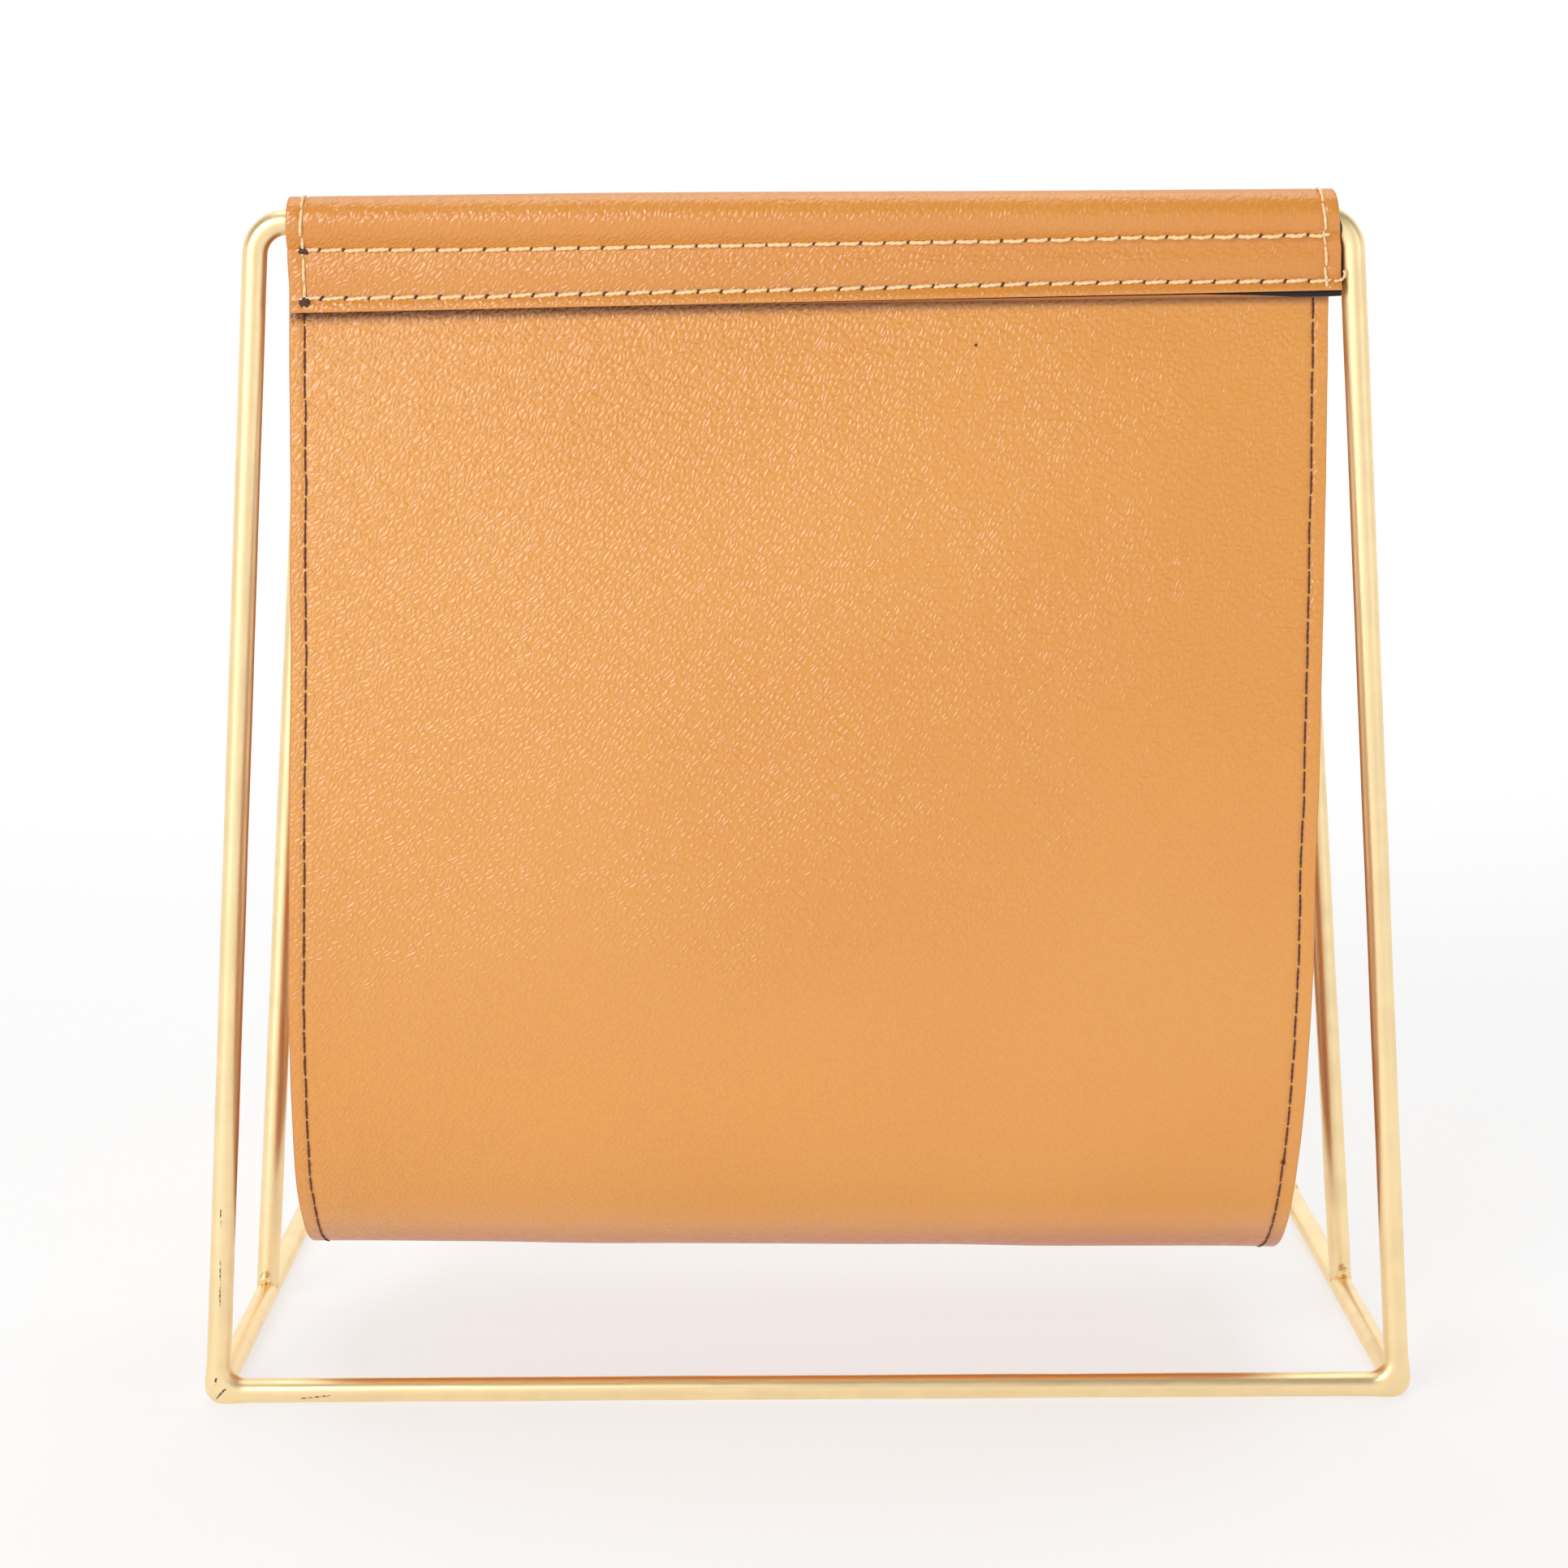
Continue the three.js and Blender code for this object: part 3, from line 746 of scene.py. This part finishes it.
def thread_rings(line, above, across, radii, angles):
    """Sections of a thread along a line; radii is by point, or by point and angle."""
    return (
        line[:, None]
        + (radii * np.cos(angles))[..., None] * across[:, None]
        + (radii * np.sin(angles))[..., None] * above[:, None]
    )


def unit(vectors):
    return vectors / np.linalg.norm(vectors, axis=1)[:, None]


def two_ply(angles, turn):
    """How thick a thread of two twisted plies is at each angle, for a turn at each point."""
    return 0.86 + 0.17 * np.cos(2 * (angles[None] - turn[:, None]))


def add_threads(name, ring_sets, material):
    verts, faces, count = [], [], 0
    for rings in ring_sets:
        v, f = loft(rings)
        verts.append(v)
        faces += [tuple(i + count for i in face) for face in f]
        count += len(v)
    return add_mesh(name, np.concatenate(verts), faces, [material], "sling")


def stitches(
    node, place, length, pitch, radius, sign, material, slot, seed, gap=0.16, slantwise=0.0
):
    """Separate stitches along a seam. place gives, for distances along the seam, the strip's s and
    share. Each stitch is a two-ply thread that comes out of one hole and dips into the next."""
    r = np.random.default_rng(seed)
    count = round(length / pitch)
    pitch = length / count
    angles = np.linspace(0, 2 * math.pi, 12, endpoint=False)
    u = np.linspace(0, 1, 15)
    ring_sets = []
    for k in range(count):
        first = k * pitch + pitch * gap * 0.5 * r.uniform(0.7, 1.2)
        last = (k + 1) * pitch - pitch * gap * 0.5 * r.uniform(0.7, 1.2)
        along = first + (last - first) * u
        arch = np.sin(math.pi * u)
        lift = radius * (1.0 * arch**0.4 - 0.55) * r.uniform(0.92, 1.08)
        side = slantwise * (u - 0.5) + r.normal(0, 0.07 * MM) + r.normal(0, 0.05 * MM) * arch
        line = seam_points(place, along, side, sign, lift)
        tangent = unit(np.gradient(line, axis=0))
        above = seam_points(place, along, side, sign, lift + 0.4 * MM) - line
        above = unit(above - (above * tangent).sum(1)[:, None] * tangent)
        turn = along / (1.9 * MM) * math.pi + r.uniform(0, 6)
        thick = radius * (0.74 + 0.26 * arch**0.5) * r.uniform(0.94, 1.06)
        radii = thick[:, None] * two_ply(angles, turn)
        ring_sets.append(thread_rings(line, above, np.cross(tangent, above), radii, angles))
    name = node.removesuffix("thread") + "stitches"
    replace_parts(add_threads(name, ring_sets, material), node)


def hole_threads(name, place, length, pitch, sign, seed):
    """The other thread's loops, which show dark in the needle holes between the stitches."""
    r = np.random.default_rng(seed)
    count = round(length / pitch)
    pitch = length / count
    angles = np.linspace(0, 2 * math.pi, 8, endpoint=False)
    u = np.linspace(-1, 1, 7)
    ring_sets = []
    for k in range(1, count):
        at = k * pitch + r.normal(0, 0.12 * MM)
        reach = 0.8 * MM * r.uniform(0.8, 1.2)
        along = at + reach * 0.6 * u
        side = reach * 0.8 * u + r.normal(0, 0.06 * MM)
        line = seam_points(place, along, side, sign, 0.12 * MM - 0.3 * MM * u**2)
        above = unit(seam_points(place, along, side, sign, 0.4 * MM) - line)
        across = unit(np.cross(np.gradient(line, axis=0), above))
        thick = 0.38 * MM * r.uniform(0.8, 1.15) * np.sqrt(1.02 - u**2)
        ring_sets.append(thread_rings(line, above, across, thick[:, None], angles))
    add_threads(name, ring_sets, DARK)


def seam_points(place, along, side, sign, lift):
    """Points of a seam, a thread's half thickness or so above the leather that it pulls in."""
    s, share = place(along, side)
    pull = press(s, share, sign < 0)
    offset = sign * (HALF - DENT * pull + lift + 0.22 * MM)
    return sling_point(s, share, offset)


def side_place(from_s, right):
    """Where a side seam runs, for stitches()."""

    def place(along, side):
        s = from_s + along
        left_edge, right_edge = edges(s)
        inset = SEAM_INSET + side
        share = inset / (right_edge - left_edge)
        return s, (1 - share if right else share)

    return place


def hem_place(word, front, inside):
    """Where a hem row runs, on the flap or on the panel inside it, for stitches()."""

    def place(along, side):
        share = (ROW_START + along) / WIDTH
        s = row_place(share, word, front)
        return (across_bar(s, front) if inside else s) + side, share

    return place


ON_DARK, ON_CREAM = (DARK, "dark_thread"), (CREAM, "cream_thread")
for side, word in ((-1, "left"), (1, "right")):
    place, length = side_place(UNDER - 3 * MM, side > 0), LENGTH - 2 * UNDER + 6 * MM
    node = f"{word}_seam_outer_thread"
    stitches(node, place, length, SIDE_PITCH, 0.29 * MM, 1, *ON_DARK, 40 + side, 0.12)
    place, length = side_place(1.0 * MM, side > 0), LENGTH - 2 * MM
    node = f"{word}_seam_inner_thread"
    stitches(node, place, length, SIDE_PITCH, 0.48 * MM, -1, *ON_CREAM, 44 + side, 0.07, 0.3 * MM)
ROW_START, ROW_LENGTH = 2.4 * MM, 282 * MM
for front, end in ((True, "front"), (False, "rear")):
    for word in ROW_DROPS:
        seed, row = 50 + len(word) + front, f"{end}_hem_{word}"
        place, size = hem_place(word, front, False), (ROW_LENGTH, HEM_PITCH)
        stitches(f"{row}_thread", place, *size, 0.62 * MM, -1, *ON_CREAM, seed, 0.08, 0.55 * MM)
        hole_threads(f"{row}_hole_threads", place, *size, -1, seed + 20)
        place = hem_place(word, front, True)
        stitches(f"{row}_bobbin_thread", place, *size, 0.42 * MM, -1, *ON_DARK, seed + 10)


def on_face(x, drop):
    """A point on the front flap's face, by where it is across and how far it is below the bar."""
    left, right = edges(np.array(8 * MM))
    share = (x - left) / (right - left)
    tilt = slant(np.array(0.0), share)
    return sling_point(FLAP - drop / (1 - tilt / FLAP), share, -HALF)


def thread_tail(name, points, radius, material, slot):
    """A short loose end, with the same twist as the stitches and a frayed tip."""
    points = np.array(points)
    t = np.linspace(0, 1, len(points))
    u = np.linspace(0, 1, 26)
    line = np.stack([np.interp(u, t, points[:, k]) for k in range(3)], -1)
    for _ in range(6):
        line[1:-1] = (line[:-2] + 2 * line[1:-1] + line[2:]) / 4
    tangent = unit(np.gradient(line, axis=0))
    above = unit(np.cross(tangent, (1.0, 0.2, 0.1)))
    angles = np.linspace(0, 2 * math.pi, 12, endpoint=False)
    fray = radius * (1 + 0.25 * np.sin(u * 23)) * np.where(u > 0.9, 1.25, 1.0)
    radii = fray[:, None] * two_ply(angles, 9 * u)
    rings = thread_rings(line, above, np.cross(tangent, above), radii, angles)
    add_threads(name, [rings], material)


def burnt(name, centre, sizes, seed, rough):
    lump(name, centre, sizes, BURNT, "sling", seed, rough, 1.2)


def on_panel(height):
    """How far along the strip the front panel is at this height."""
    return LINE_S[int(np.argmax((LINE_Z < height) & (LINE_S > UNDER)))]


# burnt ends of the dark thread on the flap's left side
burnt("upper_left_burnt_end", on_face(-138.0 * MM, 7.4 * MM), (1.7, 1.0, 0.95), 71, 0.24)
burnt("lower_left_burnt_end", on_face(-138.3 * MM, 22.0 * MM), (1.5, 0.95, 1.35), 72, 0.24)
# a knot in the right side seam
at = seam_points(side_place(0.0, True), np.array([on_panel(75 * MM)]), 0.0, 1, 0.0)[0]
burnt("right_seam_knot", at, (0.55, 0.5, 0.85), 73, 0.35)
# a dark speck on the panel
s = on_panel(305.7 * MM)
left, right = edges(s)
at = sling_point(s, (47.7 * MM - left) / (right - left), HALF)
burnt("panel_speck", at, (0.4, 0.15, 0.5), 74, 0.3)
# the cream thread's loose end at the flap's right
start = on_face(146.4 * MM, 17.4 * MM)
wander = ((0, -0.3, 0), (1.4, -0.5, 0.2), (2.6, -0.2, 0.8), (3.0, 0, 1.8), (2.7, 0.1, 3.0))
points = [start + np.array(step) * MM for step in wander]
thread_tail("lower_right_thread_tail", points, 0.4 * MM, *ON_CREAM)

# ------------------------------------------------------------------ floor, light, camera


def glowing_paper(name, near, far):
    """Pale paper that glows faintly, and a little more far in front of the rack and behind it."""
    n = Nodes(name)
    n.set(Base_Color=(0.35, 0.35, 0.35, 1), Roughness=0.9, Specular_IOR_Level=0.1)
    y = n.split(n.place())[1]
    back = n.math("MAXIMUM", y, n.minus(-2.0, y))
    n.set(Emission_Color=(1, 1, 1, 1), Emission_Strength=n.ramp(back, 0.1, 2.2, near, far))
    return n.material


def stage_sheet(name, profile, material):
    """A broad sheet of paper across the stage, along a profile of (y, z)."""
    mesh = bpy.data.meshes.new(name)
    verts = [(x, y, z) for y, z in profile for x in (-30.0, 30.0)]
    quads = [(2 * i, 2 * i + 1, 2 * i + 3, 2 * i + 2) for i in range(len(profile) - 1)]
    mesh.from_pydata(verts, [], quads)
    mesh.polygons.foreach_set("use_smooth", np.full(len(mesh.polygons), True))
    mesh.materials.append(material)
    obj = bpy.data.objects.new(name, mesh)
    bpy.context.scene.collection.objects.link(obj)


COVE, COVE_Y = 1.2, 2.2  # radius of the curve from floor to backdrop, and where it starts
quarter = np.linspace(0, math.pi / 2, 24)
curve = [(COVE_Y + COVE * math.sin(a), COVE - COVE * math.cos(a)) for a in quarter]
profile = [(-40.0, 0.0), *curve, (COVE_Y + COVE, 9.0)]
stage_sheet("floor", profile, glowing_paper("pale_paper", 0.62, 0.82))


def area_light(name, place, target, size, power):
    light = bpy.data.lights.new(name, "AREA")
    light.shape = "RECTANGLE"
    light.size, light.size_y = size
    light.energy = power
    obj = bpy.data.objects.new(name, light)
    obj.location = place
    obj.rotation_euler = (Vector(target) - Vector(place)).to_track_quat("-Z", "Y").to_euler()
    bpy.context.scene.collection.objects.link(obj)


area_light("key", (-0.85, -1.75, 1.15), (0, 0, 0.2), (0.7, 0.7), 14.8)
area_light("side", (-1.25, -1.3, 0.7), (0, 0, 0.15), (0.4, 1.4), 4.6)
area_light("fill", (1.6, -1.2, 0.9), (0, 0, 0.15), (1.0, 1.4), 3.2)
area_light("top", (0, 0.1, 2.0), (0, 0, 0), (1.6, 1.2), 12.5)

# white near the horizon, so that the ends of the sheet hardly show, and soft grey above
world = bpy.data.worlds.new("studio")
bpy.context.scene.world = world
world.use_nodes = True
tree = world.node_tree
glow = tree.nodes["Background"]
glow.inputs["Color"].default_value = (1, 1, 1, 1)
parts = tree.nodes.new("ShaderNodeSeparateXYZ")
haze = tree.nodes.new("ShaderNodeMapRange")
haze.interpolation_type = "SMOOTHSTEP"
for socket, value in (("From Min", 0.13), ("From Max", 0.34), ("To Min", 1.0), ("To Max", 0.23)):
    haze.inputs[socket].default_value = value
tree.links.new(tree.nodes.new("ShaderNodeTexCoord").outputs["Generated"], parts.inputs[0])
tree.links.new(parts.outputs[2], haze.inputs["Value"])
tree.links.new(haze.outputs["Result"], glow.inputs["Strength"])

lens = bpy.data.cameras.new("camera")
lens.lens = 74.53
lens.sensor_width = 36
lens.clip_start, lens.clip_end = 0.05, 200
camera = bpy.data.objects.new("camera", lens)
# fitted to the photograph: where the camera is, and how it's turned
pitch, yaw, roll = math.radians(8.91), math.radians(0.22), math.radians(-0.27)
ahead = Vector((math.sin(yaw) * math.cos(pitch), math.cos(yaw) * math.cos(pitch), -math.sin(pitch)))
right = Vector((math.cos(yaw), -math.sin(yaw), 0))
up = right.cross(ahead)
right_rolled = math.cos(roll) * right + math.sin(roll) * up
up_rolled = -math.sin(roll) * right + math.cos(roll) * up
turned = Matrix((right_rolled, up_rolled, -ahead)).transposed()
camera.matrix_world = Matrix.Translation((-0.0097, -1.0025, 0.3250)) @ turned.to_4x4()
bpy.context.scene.collection.objects.link(camera)
bpy.context.scene.camera = camera
bpy.context.scene.view_settings.view_transform = "Standard"
